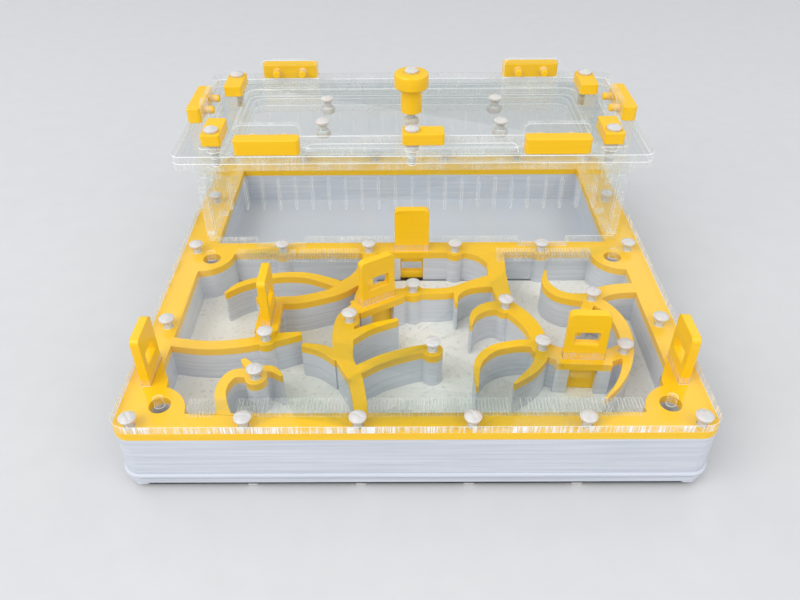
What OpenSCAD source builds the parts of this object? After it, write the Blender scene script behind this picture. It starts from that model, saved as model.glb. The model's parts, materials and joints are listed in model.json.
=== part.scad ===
/* [Body] */
// Width of the stacked plates, left to right
body_w = 190; // [186:1:260]
// Depth of the stacked plates, front to back
body_d = 183.5; // [182:0.5:260]
// Corner radius of the stacked plates
body_r = 6; // [4:0.5:6]
// Thickness of the solid bottom plate
base_t = 5; // [4:0.5:10]
// Thickness of the plate that holds the nest floor
nest_base_t = 5; // [4.5:0.5:10]
// Height of the nest chambers
nest_h = 11; // [10:0.5:14]
// Thickness of the coloured plate on the maze walls
cap_t = 3; // [2:0.5:5]
// Thickness of every clear sheet: cover, box walls, rims and lid
sheet_t = 3; // [2.5:0.1:4]

/* [Nest] */
// White border at the left and right of the nest
side_border = 9.5; // [9:0.5:14]
// White border in front of the nest
front_border = 8.7; // [7:0.1:14]
// Wall between the nest and the foraging box
divider_t = 7.7; // [7.4:0.1:14]
// Thickness of a maze wall where its share is 1
maze_wall_t = 4.5; // [3.5:0.1:5.5]
// Diameter of the round boss at each screw in the maze
boss_d = 7.4; // [6:0.1:9]
// Radius of the pads that hold the watering wells
pad_r = 12.3; // [11:0.1:14]
// Thickness of the porous nest floor
nest_floor_t = 3; // [2:0.5:4]
// Width of each vent slit in the clear cover
vent_w = 0.55; // [0.4:0.05:0.7]
// Length of each vent slit in the clear cover
vent_l = 4.9; // [3:0.1:5]
// Distance between neighbouring vent slits in the clear cover
vent_pitch = 1.13; // [1.1:0.01:2]

/* [Foraging box] */
// White border at the left and right of the box
box_side_border = 13.5; // [12:0.5:16]
// Inside depth of the box
box_d = 64.3; // [62:0.1:66]
// Height of the box walls above the cover
box_h = 36; // [32:1:80]
// White border behind the box
back_border = 13.5; // [12:0.5:18]
// Width of each vent slit
slit_w = 0.7; // [0.5:0.1:1.2]
// Height of each vent slit
slit_h = 12.4; // [8:0.1:14]
// Distance between neighbouring vent slits
slit_pitch = 6.6; // [4:0.1:9]
// Width of the tabs that lock the rims down
tab_w = 25; // [24:0.1:26]
// Height of the tabs above the upper rim
tab_rise = 9.5; // [8:0.5:14]

/* [Lid] */
// Clear edge between the lid and the side walls of the box
lid_side_inset = 12; // [11.5:0.1:13]
// Clear edge between the lid and the back wall of the box
lid_back_inset = 17.2; // [15:0.1:19]
// Width of the ledge that carries the lid
lid_ledge = 2.5; // [1.5:0.1:4]
// Diameter of the knob's head
knob_d = 13.7; // [11:0.1:20]
// Diameter of the knob's stem
stem_d = 8.6; // [7:0.1:10.5]
// Height of the knob's head
knob_head_h = 6; // [4:0.5:10]
// Height of the knob's stem
stem_h = 10; // [6:0.5:16]

/* [Gates] */
// Width of a gate
gate_w = 14; // [13:0.1:15]
// Thickness of a gate
gate_t = 3; // [2.5:0.1:3.2]
// Height of a gate
gate_h = 33.4; // [30:0.1:45]
// Width of the passage behind a gate
passage_w = 9.5; // [8:0.1:10]
// Width of the window in a gate
window_w = 8.5; // [6:0.1:9]
// Height of the window in a gate
window_h = 5; // [4:0.1:7]
// Diameter of the tube ports in the sides
port_d = 8; // [6:0.5:8.5]

/* [Locks and latches] */
// Length of a lock key
key_w = 24.7; // [20:0.1:27]
// Depth of a lock key's bar
key_d = 5.8; // [4.5:0.1:6.2]
// Height of a lock key's bar
key_h = 6; // [5:0.1:8]
// Diameter of a lock key's pegs
peg_d = 3; // [2:0.1:3.5]
// Distance between the two pegs of a lock key
peg_pitch = 11.6; // [9:0.1:14]
// Width of a turn latch
latch_w = 7.4; // [6:0.1:8]
// Reach of a turn latch from its screw
latch_reach = 12; // [9:0.1:12.5]
// Height of a turn latch
latch_h = 4.5; // [3:0.1:6]

/* [Fasteners] */
// Diameter of every screw's shank
shank_d = 3; // [2.5:0.1:3.2]
// Diameter of every screw's head
head_d = 5.6; // [5:0.1:6]
// Height of every screw's head
head_h = 2; // [1.6:0.1:3]
// Width of a hexagon nut across its flats
nut_af = 5.5; // [5:0.1:6]
// Height of a hexagon nut
nut_h = 2.4; // [2:0.1:3]

/* [Hidden] */
$fn = 48;

white = [0.93, 0.94, 0.97];
cream = [0.90, 0.87, 0.76];
yellow = [0.96, 0.75, 0.03];
clear = [0.78, 0.88, 0.93, 0.4];
nylon = [0.88, 0.89, 0.90];

// Clearances and the overrun of every cut
overrun = 1;
hole_gap = 0.2;
thread_gap = 0.05;
turn_gap = 0.08;
slide_gap = 0.15;
sheet_gap = 0.1;
seat_gap = 0.3;

// Heights, counted up from the surface that the nuts stand on
base_z = nut_h;
nest_base_z = base_z + base_t;
nest_z = nest_base_z + nest_base_t;
cap_z = nest_z + nest_h;
cover_z = cap_z + cap_t;
deck_z = cover_z + sheet_t;
rim_lower_z = deck_z + box_h;
rim_upper_z = rim_lower_z + sheet_t;
rim_top_z = rim_upper_z + sheet_t;
lid_top_z = rim_top_z + sheet_t;
tab_top_z = rim_top_z + tab_rise;
head_slot_w = head_h * 0.4;

// Plan of the nest and of the box, counted back from the front edge
box_w = body_w - 2 * box_side_border;
field_w = body_w - 2 * side_border;
field_y0 = front_border;
box_y1 = body_d - back_border;
box_y0 = box_y1 - box_d;
box_mid_y = (box_y0 + box_y1) / 2;
field_y1 = box_y0 - divider_t;
field_d = field_y1 - field_y0;
field_r = 2;
wall_y0 = box_y0 - sheet_t;
wall_y1 = box_y1 + sheet_t;

// The bottom plate's lip
lip_out = 0.8;
lip_h = 1.6;

// The nest floor's lap under the borders
floor_lap = 1;
floor_back_gap = 0.6;
floor_z = nest_z - nest_floor_t;

// Watering wells in the corner pads
well_d = 7;
well_hole_d = 3.2;
well_inset = 3.6;

// Screws along the borders
screw_edge_inset = 6;
screw_row_inset = 3.5;
screw_columns = 6;
screw_x = body_w / 2 - screw_edge_inset;
screw_rows = [screw_row_inset, wall_y0 - seat_gap - head_d / 2, body_d - screw_row_inset];
column_pitch = 2 * screw_x / (screw_columns - 1);

// Places are shares: across from the middle of half the nest's width, and back over its depth
maze_screw_shares = [[-0.614, 0.4], [-0.272, 0.513], [-0.621, 0.184], [0.002, 0.712], [0.404, 0.598],
    [0.792, 0.647], [0.524, 0.339], [0.85, 0.317], [0.076, 0.332]];
// A gate's place, then its turn in degrees
gate_right_shares = [0.681, 0.292];
gate_right_turn = -3;
gate_middle_shares = [-0.157, 0.654];
gate_middle_turn = 31;
gate_left_shares = [-0.622, 0.554];
gate_left_turn = 90;
port_y_share = 0.216;

// Each maze wall: places along its middle line, and its thickness there, as shares
left_lower_arc_shares = [[-1.02, 0.39, 1], [-0.91, 0.37, 1], [-0.82, 0.365, 1], [-0.72, 0.375, 1],
    [-0.635, 0.395, 1], [-0.555, 0.415, 0.9], [-0.47, 0.435, 0.4]];
upper_crescent_shares = [[-0.845, 0.7, 0.2], [-0.79, 0.76, 0.65], [-0.72, 0.795, 0.7], [-0.62, 0.83, 0.7],
    [-0.5, 0.83, 0.8], [-0.39, 0.79, 0.9], [-0.32, 0.75, 1.05]];
lens_arc_shares = [[-0.695, 0.675, 0.4], [-0.65, 0.65, 0.85], [-0.58, 0.65, 1], [-0.5, 0.655, 1.05],
    [-0.39, 0.69, 1.05], [-0.335, 0.72, 1.25], [-0.28, 0.765, 1.25]];
back_column_shares = [[-0.21, 1.03, 1.05], [-0.21, 0.935, 1.05], [-0.23, 0.86, 1.25], [-0.26, 0.795, 1.5],
    [-0.31, 0.75, 1.5]];
gate_column_shares = [[-0.214, 0.888, 1.1], [-0.211, 0.76, 1.15], [-0.226, 0.67, 1.25],
    [-0.225, 0.61, 1.2]];
gate_link_shares = [[-0.225, 0.61, 1.2], [-0.157, 0.654, 1.2]];
main_arc_shares = [[-0.157, 0.654, 1.3], [-0.088, 0.692, 1.3], [0.002, 0.709, 0.85], [0.112, 0.708, 0.8],
    [0.188, 0.72, 0.85], [0.27, 0.756, 1.1], [0.362, 0.782, 1.7]];
trunk_shares = [[-0.235, 0.61, 1.1], [-0.285, 0.54, 1.5], [-0.295, 0.44, 1.7], [-0.29, 0.35, 1.6],
    [-0.28, 0.285, 1.35], [-0.255, 0.225, 1.2], [-0.23, 0.17, 1.1], [-0.205, 0.04, 1], [-0.2, -0.025, 1]];
trunk_left_shares = [[-0.46, 0.365, 0.4], [-0.41, 0.355, 0.6], [-0.36, 0.335, 0.85], [-0.3, 0.29, 1.05]];
trunk_right_shares = [[-0.28, 0.405, 1.25], [-0.205, 0.46, 0.75], [-0.145, 0.49, 0.6], [-0.065, 0.52, 0.35]];
post_branch_shares = [[-0.245, 0.205, 1.05], [-0.165, 0.26, 0.95], [-0.11, 0.29, 0.95], [0, 0.33, 0.9],
    [0.08, 0.345, 0.9]];
loop_left_shares = [[-0.7, -0.025, 1.05], [-0.73, 0.05, 0.85], [-0.745, 0.115, 0.8], [-0.735, 0.17, 0.85],
    [-0.705, 0.205, 0.9], [-0.64, 0.205, 0.95]];
loop_nub_shares = [[-0.69, 0.285, 0.35], [-0.665, 0.255, 0.65], [-0.63, 0.2, 0.85]];
loop_tail_shares = [[-0.63, 0.215, 0.85], [-0.58, 0.23, 0.7], [-0.55, 0.22, 0.55], [-0.52, 0.19, 0.25]];
pocket_column_shares = [[0.4, 1.03, 1.7], [0.398, 0.925, 1.6], [0.394, 0.86, 1.6], [0.394, 0.79, 1.6],
    [0.404, 0.68, 1.35], [0.41, 0.6, 1.3]];
gate_foot_shares = [[-0.622, 0.41, 1.6], [-0.622, 0.554, 1.6]];
gate_head_shares = [[-0.622, 0.554, 1.6], [-0.622, 0.655, 1.6]];
hook_shares = [[0.25, 0.745, 0.85], [0.21, 0.71, 0.65], [0.194, 0.675, 0.4], [0.194, 0.63, 0.2]];
first_arch_shares = [[0.41, 0.608, 1.3], [0.334, 0.604, 1.05], [0.28, 0.57, 0.8], [0.256, 0.53, 0.5],
    [0.246, 0.479, 0.2]];
arm_shares = [[0.41, 0.612, 1.4], [0.456, 0.558, 1.4], [0.492, 0.496, 1.35], [0.514, 0.429, 1.3],
    [0.53, 0.34, 1.4]];
second_arch_shares = [[0.53, 0.36, 1.1], [0.468, 0.37, 0.85], [0.412, 0.366, 0.75], [0.334, 0.344, 0.75],
    [0.278, 0.297, 0.7], [0.25, 0.233, 0.5], [0.243, 0.13, 0.2]];
third_arch_shares = [[0.53, 0.335, 1.1], [0.506, 0.272, 0.9], [0.474, 0.223, 0.7], [0.432, 0.183, 0.5],
    [0.386, 0.143, 0.2]];
gate_arc_left_shares = [[0.53, 0.34, 1.4], [0.59, 0.306, 1.5], [0.681, 0.292, 1.65]];
gate_arc_right_shares = [[0.681, 0.292, 1.65], [0.748, 0.287, 1.5], [0.808, 0.305, 1.3], [0.86, 0.335, 1.2]];
left_crescent_shares = [[0.622, 0.858, 0.2], [0.608, 0.793, 0.5], [0.616, 0.737, 0.8], [0.652, 0.69, 0.9],
    [0.708, 0.666, 0.9], [0.796, 0.657, 1.3]];
right_arm_shares = [[0.792, 0.658, 1.3], [0.854, 0.7, 1.3], [0.934, 0.722, 1.3], [1.03, 0.726, 1.3]];
short_column_shares = [[0.784, 0.64, 1], [0.742, 0.558, 0.85], [0.714, 0.496, 0.65], [0.696, 0.446, 0.3]];
right_crescent_shares = [[0.802, 0.642, 1.3], [0.848, 0.586, 1.1], [0.878, 0.507, 1.1], [0.884, 0.418, 1.05],
    [0.872, 0.328, 0.9], [0.842, 0.233, 0.65], [0.79, 0.143, 0.4], [0.722, 0.066, 0.2]];
// The side borders widen a little between the ports and the front pads
flank_shares = [[1.035, 0.26, 1], [1.004, 0.2, 1], [0.988, 0.168, 1], [0.984, 0.14, 1], [0.984, 0.09, 1]];
ribbon_steps = 4;

// Each wall of the nest: its curves, its screws, its halves of gate blocks as [gate, side],
// and the walls that it stops against
RIGHT_GATE = 0;
MIDDLE_GATE = 1;
LEFT_GATE = 2;
gate_spots = [[gate_right_shares, gate_right_turn], [gate_middle_shares, gate_middle_turn],
    [gate_left_shares, gate_left_turn]];
TRUNK = 0;
BACK_COLUMN = 1;
LEFT_ARC = 2;
LENS_ARC = 3;
CRESCENT = 4;
POST_BRANCH = 5;
LOOP = 6;
POCKET_COLUMN = 7;
MAIN_ARC = 8;
ARM = 9;
SECOND_ARCH = 10;
THIRD_ARCH = 11;
RIGHT_ARM = 12;
RIGHT_CRESCENT = 13;
SHORT_COLUMN = 14;
nest_walls = [
    [[trunk_shares, trunk_left_shares, trunk_right_shares], [1], [], [BACK_COLUMN]],
    [[back_column_shares, gate_column_shares, gate_link_shares], [], [[MIDDLE_GATE, -1]], []],
    [[left_lower_arc_shares, gate_foot_shares], [0], [[LEFT_GATE, -1]], []],
    [[lens_arc_shares, gate_head_shares], [], [[LEFT_GATE, 1]], [BACK_COLUMN, LEFT_ARC]],
    [[upper_crescent_shares], [], [], [BACK_COLUMN, LENS_ARC]],
    [[post_branch_shares], [8], [], [TRUNK]],
    [[loop_left_shares, loop_nub_shares, loop_tail_shares], [2], [], []],
    [[pocket_column_shares, first_arch_shares], [4], [], []],
    [[main_arc_shares, hook_shares], [3], [[MIDDLE_GATE, 1]], [BACK_COLUMN, TRUNK, POCKET_COLUMN]],
    [[arm_shares, gate_arc_left_shares], [6], [[RIGHT_GATE, -1]], [POCKET_COLUMN]],
    [[second_arch_shares], [], [], [ARM]],
    [[third_arch_shares], [], [], [ARM, SECOND_ARCH]],
    [[left_crescent_shares, right_arm_shares], [5], [], []],
    [[right_crescent_shares, gate_arc_right_shares], [7], [[RIGHT_GATE, 1]], [ARM, RIGHT_ARM]],
    [[short_column_shares], [], [], [RIGHT_ARM, RIGHT_CRESCENT]]];

// The walls of the cap in two groups, so that few of them meet within a group
cap_trunk_group = [TRUNK, LEFT_ARC, CRESCENT, POST_BRANCH, POCKET_COLUMN, SECOND_ARCH, RIGHT_CRESCENT];
cap_arm_group = [BACK_COLUMN, LENS_ARC, LOOP, MAIN_ARC, ARM, THIRD_ARCH, RIGHT_ARM, SHORT_COLUMN];

// Rows of vent slits in the cover: from and to as shares, and whether the row is at the front
vent_front_rows = [[-0.833, -0.744], [-0.655, -0.253], [-0.168, 0.848]];
vent_back_rows = [[-0.828, -0.249], [0.409, 0.846]];
vent_front_inset = 0.95;
vent_back_inset = 3.85;

// Rounded corner where the middle column meets the divider
pocket_corner_share = 0.36;
pocket_corner_r = 11;

// Gate blocks: the thick piece of wall round a gate
block_cheek = 2.5;
block_w = gate_w + 2 * block_cheek;
block_d = gate_t + 2 * (block_cheek + slide_gap);
window_top_inset = 7.9;
window_foot = 3.2;
gate_r = 2;
gate_back_place = [0, wall_y0 - hole_gap - gate_t / 2];
port_y = field_y0 + field_d * port_y_share;
port_gate_x = field_w / 2 + side_border / 3;
port_z = nest_z + nest_h / 2;

// Box walls: finger joints, feet and tabs
finger_foot_h = 3;
finger_top_h = 8;
foot_w = 20;
slit_margin = 8;
slit_top_gap = 8.3;
slit_z = rim_lower_z - slit_top_gap - slit_h;
tab_inset = 15;
tab_r = 2.5;
lid_w = box_w - 2 * lid_side_inset;
tab_x = lid_w / 2 - tab_inset;

// Rims
rim_over = 6.7;
rim_r = 4;
rim_w = box_w + 2 * (sheet_t + rim_over);
rim_y0 = wall_y0 - rim_over;
rim_y1 = wall_y1 + rim_over;

// Lid, its frame and its latches
lid_front_gap = 1.3;
lid_r = 4.5;
lid_y0 = box_y0 + lid_front_gap;
lid_y1 = box_y1 - lid_back_inset;
lid_d = lid_y1 - lid_y0;
lid_mid_y = (lid_y0 + lid_y1) / 2;
frame_gap = 0.5;
frame_strip = 10;
frame_back_strip = 6.2;
frame_front_gap = 0.8;
frame_end_gap = 2;
frame_front_w = 2 * (tab_x - tab_w / 2 - frame_end_gap);
frame_r = 2;
frame_open_x = lid_w / 2 + frame_gap;
frame_y0 = rim_y0 + frame_gap;
frame_y1 = lid_y1 + frame_gap + frame_back_strip;
latch_x = frame_open_x + frame_strip / 2;
latch_front_y = (frame_y0 + lid_y0 - frame_front_gap) / 2;
latch_back_y = frame_y1 - frame_back_strip / 2;
latch_r = 1;
latch_places = [[-latch_x, latch_front_y], [latch_x, latch_front_y], [-latch_x, latch_back_y],
    [latch_x, latch_back_y], [0, latch_front_y]];
sleeve_d = 5;
sleeve_z = lid_top_z + seat_gap;
latch_top_z = sleeve_z + latch_h;
port_screw_shares = [0.506, 0.493];
port_screw_places = [for (sx = [-1, 1], sy = [-1, 1])
    [sx * port_screw_shares[0] * lid_w / 2, lid_mid_y + sy * port_screw_shares[1] * lid_d / 2]];

// Lock keys
peg_past = 0.8;
key_r = 1.5;

// Screws that hold the stack: those in the two edge columns have their nuts let in
edge_screws = concat(
    [for (side = [-1, 1], y = screw_rows) [side * screw_x, y]],
    [for (side = [-1, 1], i = [0, 1]) [side * screw_x, (screw_rows[i] + screw_rows[i + 1]) / 2]]);
row_screws = [for (i = [1 : screw_columns - 2], y = screw_rows) [i * column_pitch - screw_x, y]];
maze_screws = [for (share = maze_screw_shares) field_place(share)];
wells = [for (side = [-1, 1], y = [field_y0 + well_inset, field_y1 - well_inset])
    [side * (field_w / 2 - well_inset), y]];

function field_place(share) = [share[0] * field_w / 2, field_y0 + share[1] * field_d];

function shape_count(index) =
    len(nest_walls[index][0]) + len(nest_walls[index][1]) + len(nest_walls[index][2]);

// A row of shares as a place with half of the wall's thickness there
function wall_point(row) = [row[0] * field_w / 2, field_y0 + row[1] * field_d, row[2] * maze_wall_t / 2];

// A smooth curve through four neighbouring points, at t from 0 to 1 between the middle two
function curve_at(a, b, c, d, t) =
    (2 * b + (c - a) * t + (2 * a - 5 * b + 4 * c - d) * t * t + (3 * b - a - 3 * c + d) * t * t * t) / 2;

function smooth_line(points) = let (last = len(points) - 1) concat(
    [for (i = [0 : last - 1], s = [0 : ribbon_steps - 1])
        curve_at(points[max(i - 1, 0)], points[i], points[i + 1], points[min(i + 2, last)],
            s / ribbon_steps)],
    [points[last]]);

// Unit vector square to the line at point i
function normal_at(line, i) =
    let (ahead = line[min(i + 1, len(line) - 1)], behind = line[max(i - 1, 0)],
        run = [ahead[0] - behind[0], ahead[1] - behind[1]])
    [-run[1], run[0]] / norm(run);

function side_of(line, side) = [for (i = [0 : len(line) - 1])
    [line[i][0], line[i][1]] + side * line[i][2] * normal_at(line, i)];

function reversed(list) = [for (i = [len(list) - 1 : -1 : 0]) list[i]];

// Puts plan coordinates, which count from the front edge, into the part's own frame
module plan(z = 0) {
    translate([0, -body_d / 2, z]) children();
}

module rounded_2d(w, d, r) {
    square([w - 2 * r, d], center = true);
    square([w, d - 2 * r], center = true);
    for (sx = [-1, 1], sy = [-1, 1])
        translate([sx * (w / 2 - r), sy * (d / 2 - r)]) circle(r = r);
}

// An upright plate with rounded upper corners
module rounded_top_2d(w, h, r) {
    translate([-w / 2, 0]) square([w, h - r]);
    translate([r - w / 2, 0]) square([w - 2 * r, h]);
    for (side = [-1, 1]) translate([side * (w / 2 - r), h - r]) circle(r = r);
}

// A rounded sheet of a given width between two depths
module sheet_2d(w, y0, y1, r) {
    translate([0, (y0 + y1) / 2]) rounded_2d(w, y1 - y0, r);
}

module body_2d() {
    sheet_2d(body_w, 0, body_d, body_r);
}

module box_opening_2d() {
    translate([-box_w / 2, box_y0]) square([box_w, box_d]);
}

module holes_2d(places, d) {
    for (place = places) translate(place) circle(d = d);
}

module screw_holes_2d() {
    holes_2d(concat(edge_screws, row_screws, maze_screws), shank_d + 2 * hole_gap);
}

// One maze wall
module ribbon_2d(shares) {
    line = smooth_line([for (row = shares) wall_point(row)]);
    polygon(concat(side_of(line, 1), reversed(side_of(line, -1))));
}

// Fills the corner between the middle column and the divider, as far as a circle that touches both
module pocket_corner_2d() {
    translate([pocket_corner_share * field_w / 2, field_y1]) difference() {
        translate([-pocket_corner_r, -pocket_corner_r]) square(pocket_corner_r + overrun);
        translate([-pocket_corner_r, -pocket_corner_r]) circle(r = pocket_corner_r);
    }
}

module at_gate(share, turn) {
    translate(field_place(share)) rotate(turn) children();
}

module field_2d() {
    sheet_2d(field_w, field_y0, field_y1, field_r);
}

// Pads in the corners of the nest, with the wider stretch of border at each port
module corner_pads_2d() {
    for (sx = [-1, 1], y = [field_y0, field_y1]) translate([sx * field_w / 2, y]) circle(r = pad_r);
    ribbon_2d(flank_shares);
    mirror([1, 0]) ribbon_2d(flank_shares);
}

// One of the shapes that a wall is drawn with: its curves, then its bosses, then its half blocks
module wall_shape_2d(index, i) {
    curves = nest_walls[index][0];
    bosses = nest_walls[index][1];
    halves = nest_walls[index][2];
    boss_i = i - len(curves);
    half_i = boss_i - len(bosses);
    if (boss_i < 0) ribbon_2d(curves[i]);
    else if (half_i < 0) translate(maze_screws[bosses[boss_i]]) circle(d = boss_d);
    else at_gate(gate_spots[halves[half_i][0]][0], gate_spots[halves[half_i][0]][1])
        translate([halves[half_i][1] * block_w / 4, 0]) square([block_w / 2, block_d], center = true);
}

// One wall of the nest as it is drawn, before it stops at its neighbours
module whole_wall_2d(index) {
    for (i = [0 : shape_count(index) - 1]) wall_shape_2d(index, i);
}

// The opening between the borders, where the walls of the nest stand
module nest_opening_2d() {
    difference() {
        field_2d();
        corner_pads_2d();
        pocket_corner_2d();
        holes_2d(row_screws, boss_d);
    }
}

module gate_slot_2d() {
    square([gate_w + 2 * slide_gap, gate_t + 2 * slide_gap], center = true);
}

module gate_slots_2d() {
    translate(gate_back_place) gate_slot_2d();
    at_gate(gate_right_shares, gate_right_turn) gate_slot_2d();
    at_gate(gate_middle_shares, gate_middle_turn) gate_slot_2d();
    at_gate(gate_left_shares, gate_left_turn) gate_slot_2d();
    for (side = [-1, 1]) translate([side * port_gate_x, port_y]) rotate(90) gate_slot_2d();
}

// The ways through the gate blocks and through the divider
module passages_2d() {
    passage_run = block_d + 2 * sheet_gap;
    translate([-passage_w / 2, field_y1 - overrun]) square([passage_w, divider_t + 2 * overrun]);
    at_gate(gate_right_shares, gate_right_turn) square([passage_w, passage_run], center = true);
    at_gate(gate_middle_shares, gate_middle_turn) square([passage_w, passage_run], center = true);
    at_gate(gate_left_shares, gate_left_turn) square([passage_w, passage_run], center = true);
}

// Bottom plate with a rounded-off lip, and pockets for the nuts of the edge columns
module base_plate() {
    color(white) plan(base_z) difference() {
        union() {
            linear_extrude(base_t) body_2d();
            translate([0, 0, base_t - lip_h]) linear_extrude(lip_h)
                sheet_2d(body_w + 2 * lip_out, -lip_out, body_d + lip_out, body_r + lip_out);
        }
        translate([0, 0, -overrun]) linear_extrude(base_t + 2 * overrun) screw_holes_2d();
        for (place = edge_screws) translate([place[0], place[1], -overrun])
            cylinder(d = nut_across(nut_af + 2 * hole_gap), h = nut_h + overrun, $fn = 6);
    }
}

// Plate with a recess for the nest floor and an open one under the foraging box
module nest_base() {
    color(white) plan(nest_base_z) difference() {
        linear_extrude(nest_base_t) difference() {
            body_2d();
            screw_holes_2d();
        }
        translate([0, 0, nest_base_t - nest_floor_t]) linear_extrude(nest_floor_t + overrun) {
            sheet_2d(field_w + 2 * (floor_lap + seat_gap), field_y0 - floor_lap - seat_gap,
                field_y1 - floor_back_gap + seat_gap, field_r);
            box_opening_2d();
        }
    }
}

// Porous plate that the ants live on
module nest_floor() {
    color(cream) plan(floor_z) linear_extrude(nest_floor_t) difference() {
        sheet_2d(field_w + 2 * floor_lap, field_y0 - floor_lap, field_y1 - floor_back_gap, field_r);
        screw_holes_2d();
    }
}

// Stands a piece of the nest's plan up and cuts the passages, the gate slots and the screw holes
module nest_piece() {
    color(white) plan(nest_z) linear_extrude(nest_h) difference() {
        children();
        passages_2d();
        gate_slots_2d();
        screw_holes_2d();
    }
}

// Border round the nest on three sides, with the corner pads, the watering wells and the ports
module nest_body() {
    difference() {
        nest_piece() difference() {
            intersection() {
                body_2d();
                translate([-body_w / 2, 0]) square([body_w, field_y1]);
            }
            difference() {
                field_2d();
                corner_pads_2d();
            }
            holes_2d(wells, well_d);
        }
        plan(nest_z) for (side = [-1, 1])
            translate([side * field_w / 2, port_y, nest_h / 2]) rotate([0, 90 * side, 0])
                translate([0, 0, -overrun]) cylinder(d = port_d, h = side_border + 2 * overrun);
    }
}

// Half of the wall between the nest and the foraging box, as far as the middle of its passage
module divider(side) {
    nest_piece() intersection() {
        union() {
            translate([-body_w / 2, field_y1]) square([body_w, divider_t]);
            holes_2d(row_screws, boss_d);
            pocket_corner_2d();
        }
        translate([side * body_w / 4, field_y1])
            square([body_w / 2, 2 * (divider_t + pad_r)], center = true);
        translate([-body_w / 2, 0]) square([body_w, box_y0]);
    }
}

module divider_left() {
    divider(-1);
}

module divider_right() {
    divider(1);
}

// Border round the foraging box on the other three sides
module box_border() {
    nest_piece() difference() {
        intersection() {
            body_2d();
            translate([-body_w / 2, box_y0]) square([body_w, body_d - box_y0]);
        }
        box_opening_2d();
    }
}

// A wall between the borders, the pads and the walls that it stops against
module stopped_wall(index, h) {
    difference() {
        intersection() {
            linear_extrude(h) field_2d();
            for (i = [0 : shape_count(index) - 1]) linear_extrude(h) wall_shape_2d(index, i);
        }
        translate([0, 0, -overrun]) linear_extrude(h + 2 * overrun) {
            corner_pads_2d();
            pocket_corner_2d();
            holes_2d(row_screws, boss_d);
            gate_slots_2d();
            holes_2d(maze_screws, shank_d + 2 * hole_gap);
        }
        for (other = nest_walls[index][3])
            translate([0, 0, -overrun]) linear_extrude(h + 2 * overrun) whole_wall_2d(other);
    }
}

module nest_wall(index) {
    color(white) plan(nest_z) difference() {
        stopped_wall(index, nest_h);
        translate([0, 0, -overrun]) linear_extrude(nest_h + 2 * overrun) passages_2d();
    }
}

module nest_trunk() {
    nest_wall(TRUNK);
}

module nest_back_column() {
    nest_wall(BACK_COLUMN);
}

module nest_left_arc() {
    nest_wall(LEFT_ARC);
}

module nest_lens_arc() {
    nest_wall(LENS_ARC);
}

module nest_crescent() {
    nest_wall(CRESCENT);
}

module nest_post_branch() {
    nest_wall(POST_BRANCH);
}

module nest_loop() {
    nest_wall(LOOP);
}

module nest_pocket_column() {
    nest_wall(POCKET_COLUMN);
}

module nest_main_arc() {
    nest_wall(MAIN_ARC);
}

module nest_arm() {
    nest_wall(ARM);
}

module nest_second_arch() {
    nest_wall(SECOND_ARCH);
}

module nest_third_arch() {
    nest_wall(THIRD_ARCH);
}

module nest_right_arm() {
    nest_wall(RIGHT_ARM);
}

module nest_right_crescent() {
    nest_wall(RIGHT_CRESCENT);
}

module nest_short_column() {
    nest_wall(SHORT_COLUMN);
}

// Border of the coloured plate that lies on the whole maze
module maze_cap() {
    color(yellow) plan(cap_z) linear_extrude(cap_t) difference() {
        body_2d();
        nest_opening_2d();
        box_opening_2d();
        gate_slots_2d();
        screw_holes_2d();
        holes_2d(wells, well_d);
    }
}

// The rest of the coloured plate, which follows the walls and bridges their passages
module cap_walls(group) {
    color(yellow) plan(cap_z) for (index = group) stopped_wall(index, cap_t);
}

module cap_trunk_walls() {
    cap_walls(cap_trunk_group);
}

module cap_arm_walls() {
    cap_walls(cap_arm_group);
}

// Rows of fine vent slits with their middles at one depth
module vents_2d(rows, y) {
    for (row = rows) {
        start = row[0] * field_w / 2;
        last = floor((row[1] - row[0]) * field_w / 2 / vent_pitch);
        for (i = [0 : last]) translate([start + i * vent_pitch, y]) square([vent_w, vent_l], center = true);
    }
}

// Clear cover with notches for the feet of the box walls
module cover_plate() {
    notch_w = foot_w + 2 * sheet_gap;
    notch_d = sheet_t + sheet_gap;
    color(clear) plan(cover_z) linear_extrude(sheet_t) difference() {
        body_2d();
        box_opening_2d();
        gate_slots_2d();
        vents_2d(vent_front_rows, field_y0 + vent_front_inset);
        vents_2d(vent_back_rows, field_y1 - vent_back_inset);
        screw_holes_2d();
        holes_2d(wells, well_hole_d);
        for (sx = [-1, 1]) {
            translate([sx * tab_x - notch_w / 2, box_y0 - notch_d]) square([notch_w, notch_d + overrun]);
            translate([sx * tab_x - notch_w / 2, box_y1 - overrun]) square([notch_w, notch_d + overrun]);
            translate([sx * (box_w / 2 + notch_d / 2), box_mid_y])
                square([notch_d + overrun, notch_w], center = true);
        }
    }
}

function nut_across(af) = af * 2 / sqrt(3);

// A pan-headed screw that hangs down from the underside of its head
module screw(reach) {
    rise_share = 0.6;
    crown_share = 0.75;
    difference() {
        rotate_extrude() polygon([[0, -reach], [shank_d / 2, -reach], [shank_d / 2, 0], [head_d / 2, 0],
            [head_d / 2, head_h * rise_share], [head_d / 2 * crown_share, head_h], [0, head_h]]);
        translate([-head_d, -head_slot_w / 2, head_h / 2]) cube([2 * head_d, head_slot_w, head_h]);
    }
}

module nut() {
    difference() {
        cylinder(d = nut_across(nut_af), h = nut_h, $fn = 6);
        translate([0, 0, -overrun]) cylinder(d = shank_d + 2 * thread_gap, h = nut_h + 2 * overrun);
    }
}

module cover_screws() {
    color(nylon) plan(deck_z) {
        for (place = concat(row_screws, maze_screws)) translate(place) screw(deck_z);
        for (place = edge_screws) translate(place) screw(deck_z - base_z);
    }
}

module cover_nuts() {
    color(nylon) plan() {
        for (place = concat(row_screws, maze_screws)) translate(place) nut();
        for (place = edge_screws) translate([place[0], place[1], base_z]) nut();
    }
}

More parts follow.
